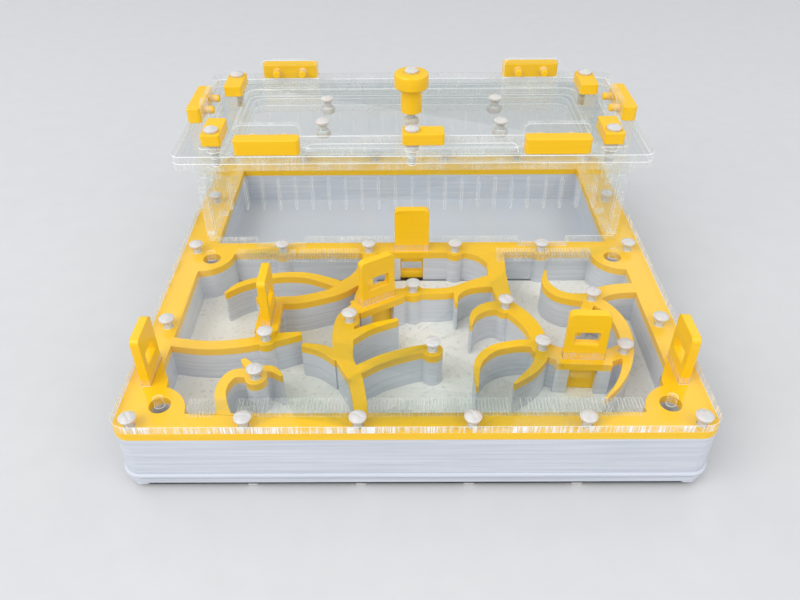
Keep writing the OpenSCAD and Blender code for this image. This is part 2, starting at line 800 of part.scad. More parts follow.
// A box wall seen from outside, as a flat outline that stands on the cover.
// Long walls own the corners at the foot and at the top, short walls own them in between.
module wall_2d(inner, tabs, long) {
    foot_drop = deck_z - cover_z;
    tongue_z0 = long ? 0 : finger_foot_h + sheet_gap;
    tongue_z1 = long ? finger_foot_h : box_h - finger_top_h - sheet_gap;
    slits = floor((inner - 2 * slit_margin) / slit_pitch) + 1;
    difference() {
        union() {
            translate([-inner / 2, 0]) square([inner, box_h]);
            translate([-inner / 2 - sheet_t, tongue_z0])
                square([inner + 2 * sheet_t, tongue_z1 - tongue_z0]);
            if (long) translate([-inner / 2 - sheet_t, box_h - finger_top_h])
                square([inner + 2 * sheet_t, finger_top_h]);
            for (x = tabs) {
                translate([x, box_h - overrun])
                    rounded_top_2d(tab_w, tab_top_z - rim_lower_z + overrun, tab_r);
                translate([x - foot_w / 2, -foot_drop]) square([foot_w, foot_drop + overrun]);
            }
        }
        for (i = [0 : slits - 1])
            translate([(i - (slits - 1) / 2) * slit_pitch - slit_w / 2, slit_z - deck_z])
                square([slit_w, slit_h]);
        for (x = tabs, side = [-1, 1])
            translate([x + side * peg_pitch / 2, rim_top_z + key_h / 2 - deck_z])
                circle(d = peg_d + 2 * slide_gap);
    }
}

// Stands a flat outline up, with its outer face forwards, and turns it about the middle of the box
module standing_wall(reach, turn, inner, tabs, long) {
    color(clear) plan(deck_z) translate([0, box_mid_y, 0]) rotate(turn) translate([0, -reach, 0])
        rotate([90, 0, 0]) linear_extrude(sheet_t) wall_2d(inner, tabs, long);
}

module wall_front() {
    standing_wall(box_d / 2, 0, box_w, [-tab_x, tab_x], true);
}

module wall_back() {
    standing_wall(box_d / 2, 180, box_w, [-tab_x, tab_x], true);
}

module wall_left() {
    standing_wall(box_w / 2, -90, box_d, [0], false);
}

module wall_right() {
    standing_wall(box_w / 2, 90, box_d, [0], false);
}

// Rim sheet with the opening under the lid and the slots that the wall tabs rise through
module rim_2d(hole_d) {
    slot_w = tab_w + 2 * slide_gap;
    slot_d = sheet_t + 2 * slide_gap;
    difference() {
        sheet_2d(rim_w, rim_y0, rim_y1, rim_r);
        sheet_2d(lid_w - 2 * lid_ledge, lid_y0 + lid_ledge, lid_y1 - lid_ledge, lid_r);
        for (sx = [-1, 1]) {
            translate([sx * tab_x, wall_y0 + sheet_t / 2]) square([slot_w, slot_d], center = true);
            translate([sx * tab_x, wall_y1 - sheet_t / 2]) square([slot_w, slot_d], center = true);
            translate([sx * (box_w + sheet_t) / 2, box_mid_y]) square([slot_d, slot_w], center = true);
        }
        holes_2d(latch_places, hole_d);
    }
}

module rim_lower() {
    color(clear) plan(rim_lower_z) linear_extrude(sheet_t) rim_2d(shank_d + 2 * thread_gap);
}

module rim_upper() {
    color(clear) plan(rim_upper_z) linear_extrude(sheet_t) rim_2d(shank_d + 2 * thread_gap);
}

// Frame that keeps the lid in place at its sides and its back
module lid_frame() {
    outer_w = 2 * (frame_open_x + frame_strip);
    color(clear) plan(rim_top_z) linear_extrude(sheet_t) difference() {
        sheet_2d(outer_w, frame_y0, frame_y1, frame_r);
        sheet_2d(2 * frame_open_x, frame_y0 - frame_strip, lid_y1 + frame_gap, lid_r);
        holes_2d(latch_places, sleeve_d + 2 * hole_gap);
    }
}

// Short bar of the same sheet in front of the lid
module lid_frame_front() {
    color(clear) plan(rim_top_z) linear_extrude(sheet_t) difference() {
        sheet_2d(frame_front_w, frame_y0, lid_y0 - frame_front_gap, frame_r);
        holes_2d(latch_places, sleeve_d + 2 * hole_gap);
    }
}

module latch_screws() {
    color(nylon) plan(latch_top_z) for (place = latch_places) translate(place)
        screw(latch_top_z - rim_lower_z);
}

// Sleeves that hold the latches just above the lid
module latch_sleeves() {
    color(nylon) plan(rim_top_z) linear_extrude(sleeve_z - rim_top_z) difference() {
        holes_2d(latch_places, sleeve_d);
        holes_2d(latch_places, shank_d + 2 * thread_gap);
    }
}

// Turn latch: an arm that points the given way from its screw
module latch(index, turn) {
    color(yellow) plan(sleeve_z) translate(latch_places[index]) rotate(turn) linear_extrude(latch_h)
        difference() {
            translate([latch_reach / 2 - latch_w / 4, 0])
                rounded_2d(latch_reach + latch_w / 2, latch_w, latch_r);
            circle(d = shank_d + 2 * turn_gap);
        }
}

module latch_front_left() {
    latch(0, 90);
}

module latch_front_right() {
    latch(1, 90);
}

module latch_back_left() {
    latch(2, -90);
}

module latch_back_right() {
    latch(3, -90);
}

module latch_front_middle() {
    latch(4, 0);
}

module lid_plate() {
    color(clear) plan(rim_top_z) linear_extrude(sheet_t) difference() {
        sheet_2d(lid_w, lid_y0, lid_y1, lid_r);
        holes_2d(port_screw_places, shank_d + 2 * hole_gap);
        holes_2d([[0, lid_mid_y]], shank_d + 2 * hole_gap);
    }
}

// Turned knob on the lid
module lid_knob() {
    knob_edge = knob_head_h / 6;
    stem_r = stem_d / 2;
    bore_r = shank_d / 2 + hole_gap;
    knob_h = stem_h + knob_head_h;
    color(yellow) plan(lid_top_z) translate([0, lid_mid_y, 0]) rotate_extrude()
        polygon([[bore_r, 0], [stem_r, 0], [stem_r, stem_h], [knob_d / 2 - knob_edge, stem_h],
            [knob_d / 2, stem_h + knob_edge], [knob_d / 2, knob_h - knob_edge],
            [knob_d / 2 - knob_edge, knob_h], [bore_r, knob_h]]);
}

module knob_screw() {
    color(nylon) plan(lid_top_z + stem_h + knob_head_h) translate([0, lid_mid_y, 0])
        screw(stem_h + knob_head_h + sheet_t + nut_h);
}

// Screws that plug the ports in the lid
module lid_screws() {
    color(nylon) plan(lid_top_z) for (place = port_screw_places) translate(place) screw(sheet_t + nut_h);
}

module lid_nuts() {
    color(nylon) plan(rim_top_z - nut_h) for (place = concat(port_screw_places, [[0, lid_mid_y]]))
        translate(place) nut();
}

// Gate: a plate with rounded upper corners and one window
module gate(window_z) {
    color(yellow) rotate([90, 0, 0]) translate([0, 0, -gate_t / 2]) linear_extrude(gate_t) difference() {
        rounded_top_2d(gate_w, gate_h, gate_r);
        translate([-window_w / 2, window_z]) square([window_w, window_h]);
    }
}

module closed_gate() {
    gate(gate_h - window_top_inset - window_h);
}

module gate_back() {
    plan(nest_z) translate(gate_back_place) gate(window_foot);
}

module gate_right() {
    plan(nest_z) at_gate(gate_right_shares, gate_right_turn) closed_gate();
}

module gate_middle() {
    plan(nest_z) at_gate(gate_middle_shares, gate_middle_turn) closed_gate();
}

module gate_left() {
    plan(nest_z) at_gate(gate_left_shares, gate_left_turn) closed_gate();
}

module gate_port_left() {
    plan(nest_z) translate([-port_gate_x, port_y]) rotate(90) closed_gate();
}

module gate_port_right() {
    plan(nest_z) translate([port_gate_x, port_y]) rotate(90) closed_gate();
}

// Lock key: a bar outside a tab, with two pegs through it
module key_at(x, reach, turn) {
    peg_l = seat_gap + sheet_t + peg_past;
    color(yellow) plan(rim_top_z) translate([0, box_mid_y, 0]) rotate(turn) translate([x, -reach, 0]) {
        translate([0, -key_d / 2 - seat_gap, 0]) linear_extrude(key_h) rounded_2d(key_w, key_d, key_r);
        for (side = [-1, 1]) translate([side * peg_pitch / 2, -seat_gap, key_h / 2]) rotate([-90, 0, 0])
            translate([0, 0, -overrun]) cylinder(d = peg_d, h = peg_l + overrun);
    }
}

module key_front_left() {
    key_at(-tab_x, box_d / 2 + sheet_t, 0);
}

module key_front_right() {
    key_at(tab_x, box_d / 2 + sheet_t, 0);
}

module key_back_left() {
    key_at(tab_x, box_d / 2 + sheet_t, 180);
}

module key_back_right() {
    key_at(-tab_x, box_d / 2 + sheet_t, 180);
}

module key_left() {
    key_at(0, box_w / 2 + sheet_t, -90);
}

module key_right() {
    key_at(0, box_w / 2 + sheet_t, 90);
}

base_plate();
nest_base();
nest_floor();
nest_body();
divider_left();
divider_right();
box_border();
nest_trunk();
nest_back_column();
nest_left_arc();
nest_lens_arc();
nest_crescent();
nest_post_branch();
nest_loop();
nest_pocket_column();
nest_main_arc();
nest_arm();
nest_second_arch();
nest_third_arch();
nest_right_arm();
nest_right_crescent();
nest_short_column();
maze_cap();
cap_trunk_walls();
cap_arm_walls();
cover_plate();
cover_screws();
cover_nuts();
wall_front();
wall_back();
wall_left();
wall_right();
rim_lower();
rim_upper();
lid_frame();
lid_frame_front();
latch_screws();
latch_sleeves();
latch_front_left();
latch_front_right();
latch_back_left();
latch_back_right();
latch_front_middle();
lid_plate();
lid_knob();
knob_screw();
lid_screws();
lid_nuts();
gate_back();
gate_right();
gate_middle();
gate_left();
gate_port_left();
gate_port_right();
key_front_left();
key_front_right();
key_back_left();
key_back_right();
key_left();
key_right();
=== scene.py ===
# %% [markdown]
# # Ant habitat: the looks round the CAD frame
# The object is a stack of white printed plates with a maze of chambers, a yellow plate on the maze
# walls, a clear cover and a clear foraging box with a lid. The CAD model holds every piece at its
# real size, so this script only adds what a photograph shows on top: softened edges, threads,
# surfaces and light.

# %% Load the frame
import json
import math

import bmesh
import bpy
import numpy as np
from mathutils import Matrix, Vector


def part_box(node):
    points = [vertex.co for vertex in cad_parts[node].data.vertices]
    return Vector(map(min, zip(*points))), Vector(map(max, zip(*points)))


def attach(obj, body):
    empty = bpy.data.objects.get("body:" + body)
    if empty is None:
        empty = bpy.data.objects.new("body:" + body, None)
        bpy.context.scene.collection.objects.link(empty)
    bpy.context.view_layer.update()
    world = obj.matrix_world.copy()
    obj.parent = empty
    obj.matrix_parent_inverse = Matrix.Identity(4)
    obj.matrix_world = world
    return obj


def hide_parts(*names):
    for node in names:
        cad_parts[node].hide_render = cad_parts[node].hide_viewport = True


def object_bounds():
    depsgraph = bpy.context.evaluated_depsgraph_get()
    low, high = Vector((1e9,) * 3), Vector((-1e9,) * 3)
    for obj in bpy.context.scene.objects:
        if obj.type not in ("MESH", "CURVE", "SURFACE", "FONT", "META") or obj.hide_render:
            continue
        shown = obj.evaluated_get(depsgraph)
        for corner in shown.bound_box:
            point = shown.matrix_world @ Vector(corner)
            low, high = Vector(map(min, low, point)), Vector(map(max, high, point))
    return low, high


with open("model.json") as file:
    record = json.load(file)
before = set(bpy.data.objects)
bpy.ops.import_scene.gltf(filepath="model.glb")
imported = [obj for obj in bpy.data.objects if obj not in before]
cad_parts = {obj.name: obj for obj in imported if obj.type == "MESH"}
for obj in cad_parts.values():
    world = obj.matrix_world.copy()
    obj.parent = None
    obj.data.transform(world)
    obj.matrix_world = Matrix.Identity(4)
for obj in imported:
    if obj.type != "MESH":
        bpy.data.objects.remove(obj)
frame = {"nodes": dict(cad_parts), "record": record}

MM = 0.001
scene = bpy.context.scene
cad_low, cad_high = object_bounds()
print("CAD box in mm:", [round(v / MM, 1) for v in (*cad_low, *cad_high)])

# %% [markdown]
# ## The cover's front edge
# The clear cover lies over the whole footprint. The camera's place counts from its front edge, and
# its cut edges get their own finish. So its box is read from its own node, and both follow the
# solids if a sheet gets thicker or the stack wider.

# %% Read the cover's box from the frame
cover_low, cover_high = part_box("cover_plate")
print("cover top at", round(cover_high.z / MM, 2), "mm, front edge at",
      round(cover_low.y / MM, 2), "mm")

# %% [markdown]
# ## Camera
# The photograph was taken with a wide phone lens from above the front edge. Its place, tilt and
# focal length were solved from the corners of the plates and the rows of screw heads, and are
# written here as real sizes: the place counts from the middle of the cover's front edge, and the
# three angles turn a camera that looks level along +Y.

# %% Place the camera
PHOTO_WIDTH = 800
SENSOR = 36.0
FOCAL_PIXELS = 727.58
NEAREST_SEEN = 0.01
CAMERA_FROM_EDGE = np.array([-3.42, -150.4, 167.4]) * MM
PITCH_DOWN, YAW, ROLL = np.radians([38.166, -0.374, -0.482])


def camera_matrix(place):
    """Columns are the camera's right, up and back: forward is turned by the yaw and lowered by
    the pitch, then right and up are turned about it by the roll."""
    forward = np.array([math.sin(YAW) * math.cos(PITCH_DOWN), math.cos(YAW) * math.cos(PITCH_DOWN),
                        -math.sin(PITCH_DOWN)])
    level = np.array([math.cos(YAW), -math.sin(YAW), 0.0])
    upright = np.cross(level, forward)
    right = math.cos(ROLL) * level + math.sin(ROLL) * upright
    up = math.cos(ROLL) * upright - math.sin(ROLL) * level
    columns = np.eye(4)
    columns[:3, 0], columns[:3, 1], columns[:3, 2], columns[:3, 3] = right, up, -forward, place
    return Matrix(columns.tolist())


edge_middle = np.array([0.0, cover_low.y, cover_high.z])
camera = bpy.data.objects.new("camera", bpy.data.cameras.new("camera"))
camera.data.sensor_width = SENSOR
camera.data.lens = FOCAL_PIXELS / PHOTO_WIDTH * SENSOR
camera.data.clip_start = NEAREST_SEEN
camera.matrix_world = camera_matrix(edge_middle + CAMERA_FROM_EDGE)
scene.collection.objects.link(camera)
scene.camera = camera
print("lens", round(camera.data.lens, 2), "mm")

# %% [markdown]
# ## Shader arithmetic
# Procedural patterns are sums and products of coordinates, so it helps to write them as such.
# `Signal` wraps a node's output and turns each operator into a Math node; `Finish` owns one
# material and adds any other node from its type, its settings and its inputs.

# %% A class for the values in a shader
class Signal:
    """A node output that can be added, multiplied and compared like a number."""

    def __init__(self, finish, socket):
        self.finish = finish
        self.socket = socket

    def math(self, operation, *values, clamp=False):
        settings = {"operation": operation, "use_clamp": clamp}
        return self.finish.node("ShaderNodeMath", settings, *values)

    def __add__(self, other):
        return self.math("ADD", self, other)

    def __sub__(self, other):
        return self.math("SUBTRACT", self, other)

    def __rsub__(self, other):
        return self.math("SUBTRACT", other, self)

    def __mul__(self, other):
        return self.math("MULTIPLY", self, other)

    def __truediv__(self, other):
        return self.math("DIVIDE", self, other)

    def __pow__(self, other):
        return self.math("POWER", self, other)

    __radd__ = __add__

    def sine(self):
        return self.math("SINE", self)

    def size(self):
        return self.math("ABSOLUTE", self)

    def clamped(self):
        return self.math("ADD", self, 0.0, clamp=True)

    def above(self, edge, softness):
        """0 below the edge, 1 above it, with a straight ramp of the given width."""
        return ((self - edge) / softness + 0.5).clamped()


print("Signal turns +, -, *, / and ** into Math nodes")

# %% A class for one material
class Finish:
    """One material with a Principled shader, and short ways to add nodes to it."""

    def __init__(self, name, **constants):
        self.material = bpy.data.materials.new(name)
        self.material.use_nodes = True
        self.tree = self.material.node_tree
        self.shader = self.tree.nodes["Principled BSDF"]
        self.output = self.tree.nodes["Material Output"]
        for socket, value in constants.items():
            self.shader.inputs[socket.replace("_", " ")].default_value = value

    def put(self, socket, value):
        if isinstance(value, Signal):
            self.tree.links.new(value.socket, socket)
        else:
            socket.default_value = value

    def node(self, kind, settings=None, *values, out=0, **named):
        made = self.tree.nodes.new(kind)
        for key, value in (settings or {}).items():
            setattr(made, key, value)
        for index, value in enumerate(values):
            self.put(made.inputs[index], value)
        for key, value in named.items():
            self.put(made.inputs[key.replace("_", " ")], value)
        return Signal(self, made.outputs[out])

    def place(self):
        return self.node("ShaderNodeTexCoord", out="Object")

    def split(self, vector):
        parts = self.node("ShaderNodeSeparateXYZ", None, vector).socket.node
        return [Signal(self, output) for output in parts.outputs]

    def scaled(self, vector, factors):
        return self.node("ShaderNodeVectorMath", {"operation": "MULTIPLY"}, vector, factors)

    def noise(self, vector, scale, detail=2.0):
        return self.node("ShaderNodeTexNoise", None, Vector=vector, Scale=scale, Detail=detail)

    def mixed(self, factor, low, high):
        """A colour between two colours."""
        made = self.tree.nodes.new("ShaderNodeMix")
        made.data_type = "RGBA"
        self.put(made.inputs["Factor"], factor)
        for name, colour in (("A", low), ("B", high)):
            socket = [s for s in made.inputs if s.name == name and s.type == "RGBA"][0]
            self.put(socket, colour)
        return Signal(self, [s for s in made.outputs if s.type == "RGBA"][0])

    def feed(self, **inputs):
        for name, value in inputs.items():
            self.put(self.shader.inputs[name.replace("_", " ")], value)

    def bump(self, height, distance, strength=1.0):
        normal = self.node("ShaderNodeBump", None, Height=height, Distance=distance,
                           Strength=strength)
        self.put(self.shader.inputs["Normal"], normal)

    def show(self, shader):
        self.put(self.output.inputs["Surface"], shader)

    def mix_shaders(self, factor, first, second):
        return self.node("ShaderNodeMixShader", None, factor, first, second)

    def principled(self):
        return Signal(self, self.shader.outputs[0])


print("Finish owns one material and adds its nodes")

# %% Tell level faces from upright ones
LEVEL_FROM, UPRIGHT_BELOW = 0.7, 0.3


def level_and_upright(finish):
    """Shares of how far a surface is level and how far it is upright, from its normal's lift."""
    normal = finish.node("ShaderNodeNewGeometry", out="Normal")
    lift = finish.split(normal)[2].size()
    return lift.above(LEVEL_FROM, 0.2), 1 - lift.above(UPRIGHT_BELOW, 0.2)


print("level from a lift of", LEVEL_FROM, "and upright below", UPRIGHT_BELOW)

# %% [markdown]
# ## White printed plastic
# The plates are printed in layers, so an upright face shows fine level lines, and a few layers
# catch the light more than their neighbours. That is a noise stretched out sideways. A level face
# shows the nozzle's passes instead: straight lines on the slant, a little under half a millimetre
# apart.

# %% Printed plastic in any colour
LAYER = 0.28 * MM
PASS = 0.45 * MM
STREAK_SCALE = (26.0, 26.0, 1150.0)
BLOTCH_SCALE = 55.0
RELIEF = 0.05 * MM


def printed(name, colour, shade, roughness, streak=1.0, coat=0.0):
    """Layer lines are a sine of the height, streaks a noise 44 times longer than high, passes a
    sine on the slant. Streaks and blotches mix the shade into the colour."""
    finish = Finish(name, Coat_Weight=coat, Coat_Roughness=0.12)
    place = finish.place()
    x, y, z = finish.split(place)
    level, upright = level_and_upright(finish)
    layers = (z * (math.tau / LAYER)).sine() * 0.5 + 0.5
    streaks = finish.noise(finish.scaled(place, STREAK_SCALE), 1.0, 3.0)
    passes = ((x + y) * (math.tau / PASS / math.sqrt(2))).sine() * 0.5 + 0.5
    blotches = finish.noise(place, BLOTCH_SCALE, 3.0)
    mottle = (streaks - 0.5) * upright * (2.6 * streak) + (blotches - 0.5) * 0.35
    finish.feed(Base_Color=finish.mixed((mottle + 0.5).clamped(), shade, colour))
    finish.feed(Roughness=(roughness + (streaks - 0.5) * 0.25 + (blotches - 0.5) * 0.12).clamped())
    relief = upright * (layers * 0.35 + streaks * 1.4 * streak) + level * passes * 0.18
    finish.bump(relief, RELIEF, 0.75)
    return finish.material


white_print = printed("white_print", (0.67, 0.70, 0.755, 1), (0.55, 0.58, 0.65, 1), 0.42, coat=0.15)
print("white print made")

# %% [markdown]
# ## Yellow printed plastic
# The same print in a warm yellow with a silkier surface. Its colour is fuller than the white's, so
# the streaks show less. A thin coat gives the highlights along the rounded edges.

# %% Yellow print
yellow_print = printed("yellow_print", (0.98, 0.60, 0.003, 1), (0.94, 0.53, 0.002, 1), 0.36,
                       streak=0.45, coat=0.12)
print("yellow print made")

# %% [markdown]
# ## Nest floor
# The floor is a porous mineral plate that takes up water. It is cream, matt and finely pitted:
# pores are the dark spots of a small noise, their darkness painted shade in the pits, and a broad
# noise tints the places where it has been damp.

# %% Porous cream plate
def porous_plate():
    """Pores are where a fine noise falls below a threshold, damp places a broad noise. A pore is
    darkened by painted shade in its pit.
    """
    finish = Finish("nest_floor")
    place = finish.place()
    grain = finish.noise(place, 1500.0, 4.0)
    pores = 1 - finish.noise(place, 700.0, 2.0).above(0.36, 0.1)
    damp = finish.noise(place, 22.0, 2.0)
    dry = finish.mixed(damp.above(0.52, 0.3), (0.86, 0.84, 0.78, 1), (0.92, 0.91, 0.87, 1))
    # Painted shade: the pores are mixed towards a darker brown, standing in for the shade in the
    # pits
    finish.feed(Base_Color=finish.mixed(pores * 0.5, dry, (0.60, 0.56, 0.47, 1)))
    finish.feed(Roughness=(grain * 0.2 + 0.75).clamped())
    finish.bump(grain - pores, 0.06 * MM, 0.6)
    return finish.material


nest_floor_finish = porous_plate()
print("floor plate made")

# %% [markdown]
# ## Clear sheet
# Laser-cut acrylic shows what is behind it almost unchanged, because its faces are flat. So a face
# is a mix of a see-through shader and a mirror, and the mirror's share grows as it does on glass:
# little straight on, much more at a glance. It is set a little low, as the photograph hardly shows
# a reflection. Fine scratches add haze. A cut edge is frosted and ribbed by the laser, and passes
# only part of the light. The arris between the two is a thin bright line.

# %% Acrylic with frosted edges
HEAD_ON, AT_A_GLANCE = 0.015, 0.7
OUTLINE_BAND = 0.6 * MM
RIBS_ACROSS, RIBS_ALONG = 1400.0, 60.0


def acrylic(name, axis, haze=0.015, outline=None):
    """The mirror's share is 0.015 + 0.7 times the fifth power of the glance. The edge is where the
    normal turns away from the sheet's thickness axis; its ribs are a noise drawn out along that
    axis, gathered in patches by a broad noise. The rounded arris, where the normal is half turned,
    catches most light. Near an outline, given as half its width and depth, the ribs are bolder."""
    finish = Finish(name, Metallic=1.0)
    place = finish.place()
    bold = 0.0
    if outline:
        near = [way.size().above(half - OUTLINE_BAND, 0.1 * MM)
                for way, half in zip(finish.split(place), outline)]
        bold = (near[0] + near[1]).clamped()
    normal = finish.node("ShaderNodeNewGeometry", out="Normal")
    facing = finish.split(normal)[axis].size()
    edge = 1 - facing.above(0.5, 0.3)
    arris = (1 - (facing - 0.7).size() / 0.25).clamped()
    wear = finish.noise(place, 320.0, 5.0)
    clouds = finish.noise(place, 40.0, 2.0)
    finish.feed(Base_Color=finish.mixed(wear, (0.93, 0.95, 0.96, 1), (1, 1, 1, 1)))
    finish.feed(Roughness=((wear - 0.5) * 0.06 + (clouds - 0.5) * 0.05 + 0.04).clamped())
    glance = finish.node("ShaderNodeLayerWeight", None, 0.5, out="Facing")
    mirror = (glance ** 5.0 * AT_A_GLANCE + HEAD_ON + wear.above(0.62, 0.1) * haze).clamped()
    clear = finish.node("ShaderNodeBsdfTransparent", None, (0.985, 0.992, 0.99, 1))
    face = finish.mix_shaders(mirror, clear, finish.principled())
    rib_scale = [RIBS_ALONG if way == axis else RIBS_ACROSS for way in range(3)]
    ribs = finish.noise(finish.scaled(place, rib_scale), 1.0, 2.0).above(0.52, 0.14)
    patches = finish.noise(place, 110.0, 2.0).above(0.5, 0.2)
    frost = finish.node("ShaderNodeBsdfPrincipled", None, Base_Color=(0.95, 0.97, 0.97, 1),
                        Roughness=0.2)
    share = ribs * (patches * 0.16 + bold * 0.4 + 0.05) + patches * (bold * 0.25 + 0.08) + 0.05
    rim = finish.mix_shaders(share.clamped(), clear, frost)
    body = finish.mix_shaders(edge, face, rim)
    finish.show(finish.mix_shaders(arris * 0.8, body, frost))
    return finish.material


sheet_cover = acrylic("acrylic_cover", 2, outline=(cover_high.x, cover_high.y))
sheet_level = acrylic("acrylic_level", 2)
sheet_facing_front = acrylic("acrylic_front", 1)
sheet_facing_side = acrylic("acrylic_side", 0)
print("acrylic made")

# %% [markdown]
# ## Nylon
# The screws and nuts are natural nylon: milky, slightly see-through at the thin edges, and satin.
# Light that scatters under the surface gives the milk; the moulding leaves a faint cloud.

# %% Milky nylon
def milky_nylon():
    """A satin white with a little scattering below the surface and a cloudy noise in its colour."""
    finish = Finish("nylon", Subsurface_Weight=0.35, Subsurface_Scale=0.0012, Coat_Weight=0.2)
    place = finish.place()
    cloud = finish.noise(place, 420.0, 3.0)
    finish.feed(Base_Color=finish.mixed(cloud, (0.56, 0.55, 0.53, 1), (0.71, 0.70, 0.68, 1)))
    finish.feed(Roughness=(cloud * 0.2 + 0.26).clamped())
    finish.bump(cloud, 0.03 * MM, 0.5)
    return finish.material


nylon = milky_nylon()
print("nylon made")

# %% [markdown]
# ## Softened edges
# No moulded, printed or cut edge is perfectly sharp, and the thin highlight along it tells the eye
# what it is made of. Each CAD node is copied, its loose triangles are merged, flat faces are joined
# again, and a Bevel modifier rounds the edges that turn by more than 40 degrees. A Weighted Normal
# modifier lets the big faces decide the shading, so that they stay flat beside the narrow rounding.
# The copy stands in for the node.

# %% Copy a node with rounded edges
SHARP = math.radians(40)
SAME_PLANE = math.radians(0.5)
SAME_POINT = 0.002 * MM
LEVEL_ENOUGH = 0.9999


def softened(node, material, body, width, segments=2, inset=0.0, flat_axis=2):
    """A merged copy of the node's mesh, flat faces joined, with its sharp edges rounded by the
    given width. The inset draws the skin in along its normals. A face across the flat axis is
    shaded flat, all others smooth."""
    mesh = frame["nodes"][node].data.copy()
    work = bmesh.new()
    work.from_mesh(mesh)
    bmesh.ops.remove_doubles(work, verts=work.verts, dist=SAME_POINT)
    bmesh.ops.dissolve_limit(work, angle_limit=SAME_PLANE, verts=work.verts, edges=work.edges)
    work.to_mesh(mesh)
    work.free()
    mesh.shade_smooth()
    mesh.set_sharp_from_angle(angle=SHARP)
    normals = np.empty(len(mesh.polygons) * 3)
    mesh.polygons.foreach_get("normal", normals)
    mesh.polygons.foreach_set("use_smooth", np.abs(normals[flat_axis::3]) < LEVEL_ENOUGH)
    mesh.materials.clear()
    mesh.materials.append(material)
    piece = bpy.data.objects.new(node + "_looks", mesh)
    scene.collection.objects.link(piece)
    bevel = piece.modifiers.new("edges", "BEVEL")
    bevel.width = width
    bevel.segments = segments
    bevel.limit_method = "ANGLE"
    bevel.angle_limit = SHARP
    bevel.use_clamp_overlap = False
    bevel.miter_outer = "MITER_ARC"
    if inset:
        skin = piece.modifiers.new("skin drawn in", "DISPLACE")
        skin.strength = -inset
        skin.mid_level = 0.0
    even = piece.modifiers.new("flat faces stay flat", "WEIGHTED_NORMAL")
    even.keep_sharp = True
    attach(piece, body)
    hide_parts(node)
    return piece


bodies = frame["record"]["behaviour"]["bodies"]
node_body = {name: body for body, names in bodies.items() for name in names}

# %% [markdown]
# ## White plates, yellow plate and floor
# The big plates get a small rounding. The bottom plate's lip is the bead that shows under the seam,
# so it is rounded most.

# %% Dress the plates
PLATES = {
    "base_plate": (white_print, "white_print", 0.6 * MM, 3),
    "nest_base": (white_print, "white_print", 0.25 * MM, 2),
    "nest_body": (white_print, "white_print", 0.08 * MM, 1),
    "nest_floor": (nest_floor_finish, "nest_floor", 0.3 * MM, 2),
}
# Borders and walls that meet face to face get so fine a rounding that no seam shows between them
for node in node_body:
    if node.startswith(("nest_", "divider_", "box_border")) and node not in PLATES:
        PLATES[node] = (white_print, "white_print", 0.07 * MM, 1)
    elif node.startswith(("maze_cap", "cap_")):
        PLATES[node] = (yellow_print, "yellow_print", 0.07 * MM, 1)
for node, (material, slot, width, segments) in PLATES.items():
    softened(node, material, node_body[node], width, segments)
print(len(PLATES), "plates dressed")

# %% [markdown]
# ## Clear sheets
# Every sheet is polished on its two faces, which face up and down, front and back, or left and
# right. A cut edge has only the slightest rounding, a little more on the rims and the lid, whose
# edges show as light lines. A sheet lies on the coloured plate or on another sheet, and a ray that
# goes through one face would miss another in the same place. So each sheet's skin is drawn in by a
# fiftieth of a millimetre.

# %% Dress the sheets
SHEETS = {
    "cover_plate": sheet_cover,
    "rim_lower": sheet_level, "rim_upper": sheet_level,
    "lid_frame": sheet_level, "lid_frame_front": sheet_level, "lid_plate": sheet_level,
    "wall_front": sheet_facing_front, "wall_back": sheet_facing_front,
    "wall_left": sheet_facing_side, "wall_right": sheet_facing_side,
}
LIGHT_LINES = ("rim_lower", "rim_upper", "lid_frame", "lid_frame_front", "lid_plate")
FINE_ARRIS, LIGHT_ARRIS = 0.1 * MM, 0.2 * MM
SHEET_INSET = 0.02 * MM
for node, material in SHEETS.items():
    arris = LIGHT_ARRIS if node in LIGHT_LINES else FINE_ARRIS
    across = {sheet_facing_side: 0, sheet_facing_front: 1}.get(material, 2)
    softened(node, material, node_body[node], arris, 1, SHEET_INSET, across)
print(len(SHEETS), "sheets dressed")

# %% [markdown]
# ## Gates, keys and latches
# These are small printed blocks, handled often, so their edges are rounded more than those of the
# plates.

# %% Dress the moving yellow pieces
HANDLED = ("gate_", "key_", "latch_front", "latch_back")
HANDLED_EDGE = 0.3 * MM
SMALL = [name for name in node_body if name.startswith(HANDLED)]
for node in SMALL:
    softened(node, yellow_print, node_body[node], HANDLED_EDGE, 3)
print(len(SMALL), "yellow pieces dressed")

# %% [markdown]
# ## Knob
# The knob is turned or printed round, so it is a profile spun about its axis: a stem and a wider
# head, with rounded corners and a bore for the screw.

# %% Spin a rounded profile
def grid_faces(rows, columns, closed):
    """Quads between neighbouring rows, joined round the columns. A closed grid also joins its last
    row to the first."""
    joined = rows if closed else rows - 1
    row, column = np.meshgrid(np.arange(joined), np.arange(columns), indexing="ij")
    right = (column + 1) % columns
    here, above = row * columns, (row + 1) % rows * columns
    return np.stack([here + column, here + right, above + right, above + column], -1).reshape(-1, 4)


def spun(profile, centre, columns=96):
    """Each profile point (radius, height) goes round the axis: x = r cos a, y = r sin a. A closed
    profile gives a closed ring."""
    angles = np.linspace(0, math.tau, columns, endpoint=False)
    radii, heights = np.asarray(profile).T
    x = radii[:, None] * np.cos(angles) + centre[0]
    y = radii[:, None] * np.sin(angles) + centre[1]
    z = np.repeat(heights[:, None], columns, 1) + centre[2]
    points = np.stack([x, y, z], -1).reshape(-1, 3)
    return points, grid_faces(len(profile), columns, closed=True)


def rounded_corner(corner, before, after, radius, steps=6):
    """Points on a quadratic curve that replaces the corner, from one side to the other."""
    corner, before, after = map(np.asarray, (corner, before, after))
    start = corner + (before - corner) / np.linalg.norm(before - corner) * radius
    end = corner + (after - corner) / np.linalg.norm(after - corner) * radius
    t = np.linspace(0, 1, steps)[:, None]
    return (1 - t) ** 2 * start + 2 * t * (1 - t) * corner + t ** 2 * end


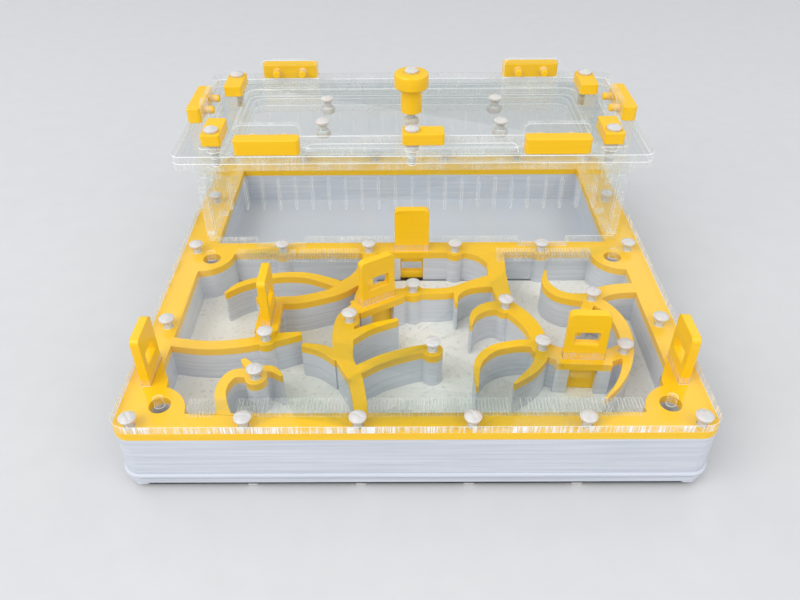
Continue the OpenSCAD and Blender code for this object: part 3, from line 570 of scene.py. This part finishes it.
def rounded_profile(corners, radii):
    """The closed outline through the corners, each rounded by its radius."""
    count = len(corners)
    arcs = [rounded_corner(corners[i], corners[i - 1], corners[(i + 1) % count], radii[i])
            for i in range(count)]
    return np.concatenate(arcs)


corner_points = rounded_corner((0, 0), (-1, 0), (0, 1), 0.5)
print("a rounded corner has", len(corner_points), "points")

# %% Make the knob
def made(name, points, faces, material, slot, body):
    """A smooth piece from points and faces, with sharp edges kept, riding on its body."""
    mesh = bpy.data.meshes.new(name)
    mesh.from_pydata(points.tolist(), [], faces.tolist())
    mesh.update()
    mesh.materials.append(material)
    mesh.shade_smooth()
    mesh.set_sharp_from_angle(angle=SHARP)
    piece = bpy.data.objects.new(name, mesh)
    scene.collection.objects.link(piece)
    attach(piece, body)
    return piece


knob_low, knob_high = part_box("lid_knob")
knob_middle = ((knob_low.x + knob_high.x) / 2, (knob_low.y + knob_high.y) / 2, knob_low.z)
KNOB_R = (knob_high.x - knob_low.x) / 2
KNOB_H = knob_high.z - knob_low.z
STEM_R, STEM_H, BORE_R = 4.3 * MM, 10 * MM, 1.7 * MM
knob_corners = [(BORE_R, 0), (STEM_R, 0), (STEM_R, STEM_H),
                (KNOB_R, STEM_H), (KNOB_R, KNOB_H), (BORE_R, KNOB_H)]
knob_radii = [0.1 * MM, 0.4 * MM, 0.7 * MM, 0.9 * MM, 1.1 * MM, 0.2 * MM]
points, faces = spun(rounded_profile(knob_corners, knob_radii), knob_middle)
knob = made("knob_looks", points, faces, yellow_print, "yellow_print", "lid")
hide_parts("lid_knob")
print("knob", round(KNOB_H / MM, 1), "mm high,", len(faces), "faces")

# %% [markdown]
# ## Screws
# The screws are nylon pan heads: a low dome with a shallow slot, on a shank whose thread shows
# through the clear sheets. Head and shank are one surface of two parameters, the distance along the
# profile and the angle round it. The slot lowers the dome near one line across it, and the thread
# swells the shank by a wave that climbs one pitch in each turn. Each screw gets its own turn, as
# screws do.

# %% One screw as a grid of points
HEAD_R, HEAD_H, SHANK_R = 2.8 * MM, 2.0 * MM, 1.5 * MM
SHOULDER, FLANK_SHARE = 0.25 * MM, 0.45
PITCH, THREAD_DEPTH, ROWS_PER_PITCH = 0.5 * MM, 0.22 * MM, 6
SLOT_FADE, SLOT_END_FADE, SLOT_DEPTH = 0.42 * MM, 0.62 * MM, 0.28 * MM
COLUMNS = 36


def screw_surface(top, reach, turn, threaded):
    """Rows run from the foot of the shank up to the crown. The shank's radius falls between the
    thread's crests, the head's flank is round, and the dome's height is a cosine of the share of
    its radius. The slot is a dip that fades out across its line and at its ends."""
    angle = np.linspace(0, math.tau, COLUMNS, endpoint=False)[None, :]
    thread_rows = int(threaded / PITCH * ROWS_PER_PITCH)
    foot_z = np.array([-reach, -reach, -reach + 0.4 * MM, -threaded - 0.2 * MM])
    foot_r = np.array([0.0, SHANK_R * 0.8, SHANK_R, SHANK_R])
    climb = np.linspace(-threaded, -0.02 * MM, thread_rows)
    wave = 0.5 - 0.5 * np.cos(math.tau * (climb[:, None] / PITCH - angle / math.tau))
    shank_r = SHANK_R - THREAD_DEPTH * wave ** 2
    flank = np.linspace(0, 1, 5)[1:]
    flank_r = HEAD_R - SHOULDER * (1 - np.sin(flank * math.pi / 2))
    flank_z = flank * FLANK_SHARE * HEAD_H
    share = np.linspace(1, 0, 10)[1:]
    dome_h = (1 - FLANK_SHARE) * HEAD_H
    dome_z = FLANK_SHARE * HEAD_H + dome_h * np.cos(share * math.pi / 2) ** 0.8
    head_r = np.r_[HEAD_R - SHOULDER, flank_r, share * HEAD_R]
    radii = np.concatenate([np.repeat(foot_r[:, None], COLUMNS, 1), shank_r,
                            np.repeat(head_r[:, None], COLUMNS, 1)])
    heights = np.concatenate([foot_z, climb, [0.0], flank_z, dome_z])[:, None] + 0 * angle
    x, y = radii * np.cos(angle), radii * np.sin(angle)
    on_top = np.arange(len(heights))[:, None] >= len(heights) - len(dome_z)
    across = np.clip(1.5 - np.abs(y) / SLOT_FADE, 0, 1)
    along = np.clip(4 - np.abs(x) / SLOT_END_FADE, 0, 1)
    z = heights - on_top * across * along * SLOT_DEPTH
    return np.stack([x * math.cos(turn) - y * math.sin(turn) + top[0],
                     x * math.sin(turn) + y * math.cos(turn) + top[1], z + top[2]], -1)


print("a head is", round(HEAD_R / MM * 2, 1), "mm across")

# %% [markdown]
# ## Where the screws stand
# The places come from the CAD node itself: its solids are told apart as loose islands of the mesh,
# and each island's box gives the axis, the crown and the foot of one screw. So the screws follow
# the solids.

# %% Find the islands of a node
def island_boxes(node):
    """Lowest and highest corners of each loose island of a node's merged mesh. An island is what
    can be reached from one vertex along the edges."""
    work = bmesh.new()
    work.from_mesh(frame["nodes"][node].data)
    bmesh.ops.remove_doubles(work, verts=work.verts, dist=SAME_POINT)
    work.verts.ensure_lookup_table()
    seen, boxes = set(), []
    for first in work.verts:
        if first.index in seen:
            continue
        island, queue = [], [first]
        seen.add(first.index)
        while queue:
            vertex = queue.pop()
            island.append(vertex.co[:])
            for edge in vertex.link_edges:
                other = edge.other_vert(vertex)
                if other.index not in seen:
                    seen.add(other.index)
                    queue.append(other)
        corners = np.array(island)
        boxes.append((corners.min(0), corners.max(0)))
    work.free()
    return boxes


print("the cover is held by", len(island_boxes("cover_screws")), "screws")

# %% Replace every group of screws
EACH_TURN = 1.9
PLAIN_END = 0.7 * MM
ON_AXIS = 0.001 * MM


def dressed_screws(node, threaded):
    """One mesh with a screw in each island's place, each turned further than the one before. All
    points of a row on the axis are merged into one."""
    surfaces = []
    for number, (low, high) in enumerate(island_boxes(node)):
        middle = (low + high) / 2
        top = (middle[0], middle[1], high[2] - HEAD_H)
        reach = top[2] - low[2]
        thread = min(threaded, reach - PLAIN_END)
        surfaces.append(screw_surface(top, reach, EACH_TURN * number, thread))
    rows = surfaces[0].shape[0]
    each = grid_faces(rows, COLUMNS, closed=False)
    faces = np.concatenate([each + n * rows * COLUMNS for n in range(len(surfaces))])
    points = np.concatenate([s.reshape(-1, 3) for s in surfaces])
    piece = made(node + "_looks", points, faces, nylon, "nylon", node_body[node])
    work = bmesh.new()
    work.from_mesh(piece.data)
    bmesh.ops.remove_doubles(work, verts=work.verts, dist=ON_AXIS)
    bmesh.ops.recalc_face_normals(work, faces=work.faces)
    work.to_mesh(piece.data)
    work.free()
    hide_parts(node)
    return len(surfaces)


THREADED = {"cover_screws": 3.5 * MM, "latch_screws": 13.0 * MM, "knob_screw": 3.0 * MM,
            "lid_screws": 6.5 * MM}
for node, threaded in THREADED.items():
    print(node, dressed_screws(node, threaded), "screws")

# %% [markdown]
# ## Nuts and sleeves
# A moulded hexagon nut has its corners turned off, and a sleeve is a short cut tube, so both only
# need their edges rounded.

# %% Dress the nuts and sleeves
FASTENERS = {"cover_nuts": 0.35 * MM, "latch_sleeves": 0.15 * MM, "lid_nuts": 0.35 * MM}
for node, width in FASTENERS.items():
    softened(node, nylon, node_body[node], width)
print(len(FASTENERS), "groups of fasteners dressed")

# %% [markdown]
# ## Floor
# The object stands on a plain pale floor, which is the stage and not part of the object. One big
# square fills any view, and a faint grain keeps it from looking like a flat digital colour.

# %% Lay the floor
def floor_finish():
    """A pale grey that a broad noise mixes with a slightly lighter one."""
    finish = Finish("floor", Roughness=0.75)
    grain = finish.noise(finish.place(), 90.0, 3.0)
    finish.feed(Base_Color=finish.mixed(grain, (0.60, 0.605, 0.61, 1), (0.64, 0.645, 0.65, 1)))
    return finish.material


FLOOR_REACH = 6.0
floor_mesh = bpy.data.meshes.new("floor")
corners = [(sx * FLOOR_REACH, sy * FLOOR_REACH, cad_low[2])
           for sx, sy in ((-1, -1), (1, -1), (1, 1), (-1, 1))]
floor_mesh.from_pydata(corners, [], [(0, 1, 2, 3)])
floor_mesh.materials.append(floor_finish())
floor = bpy.data.objects.new("floor", floor_mesh)
scene.collection.objects.link(floor)
print("floor", 2 * FLOOR_REACH, "m across")

# %% [markdown]
# ## Lamps and world
# Four soft lamps stand over the corners, where neither the photograph's view nor one from a side or
# from above finds them mirrored in the level sheets. The left front one is the strongest. They are
# wide, so that a mirrored lamp is only a faint veil. An even, slightly cool world fills the
# shadows.

# %% Set the lamps and the world
def lamp(name, place, aim, side, watts):
    """A square soft lamp of the given side that looks from its place at its aim."""
    light = bpy.data.lights.new(name, "AREA")
    light.size = side
    light.energy = watts
    holder = bpy.data.objects.new(name, light)
    holder.location = place
    holder.rotation_euler = (Vector(aim) - Vector(place)).to_track_quat("-Z", "Y").to_euler()
    scene.collection.objects.link(holder)


LAMPS = {"left_front": ((-0.85, -0.70, 1.10), 17.0), "right_front": ((0.85, -0.80, 1.00), 9.5),
         "left_back": ((-0.95, 0.85, 1.00), 4.5), "right_back": ((0.95, 0.85, 1.00), 4.5)}
LAMP_SIDE = 1.3
LAMP_AIM = (0, 0, 0.03)
for name, (place, watts) in LAMPS.items():
    lamp(name, place, LAMP_AIM, LAMP_SIDE, watts)
world = bpy.data.worlds.new("studio")
world.use_nodes = True
background = world.node_tree.nodes["Background"]
background.inputs["Color"].default_value = (0.92, 0.94, 1.0, 1)
background.inputs["Strength"].default_value = 0.42
scene.world = world
scene.view_settings.view_transform = "Standard"
# A line of sight crosses a dozen or more faces of clear sheet, each a see-through step
scene.cycles.transparent_max_bounces = 40
print(len(LAMPS), "lamps set")
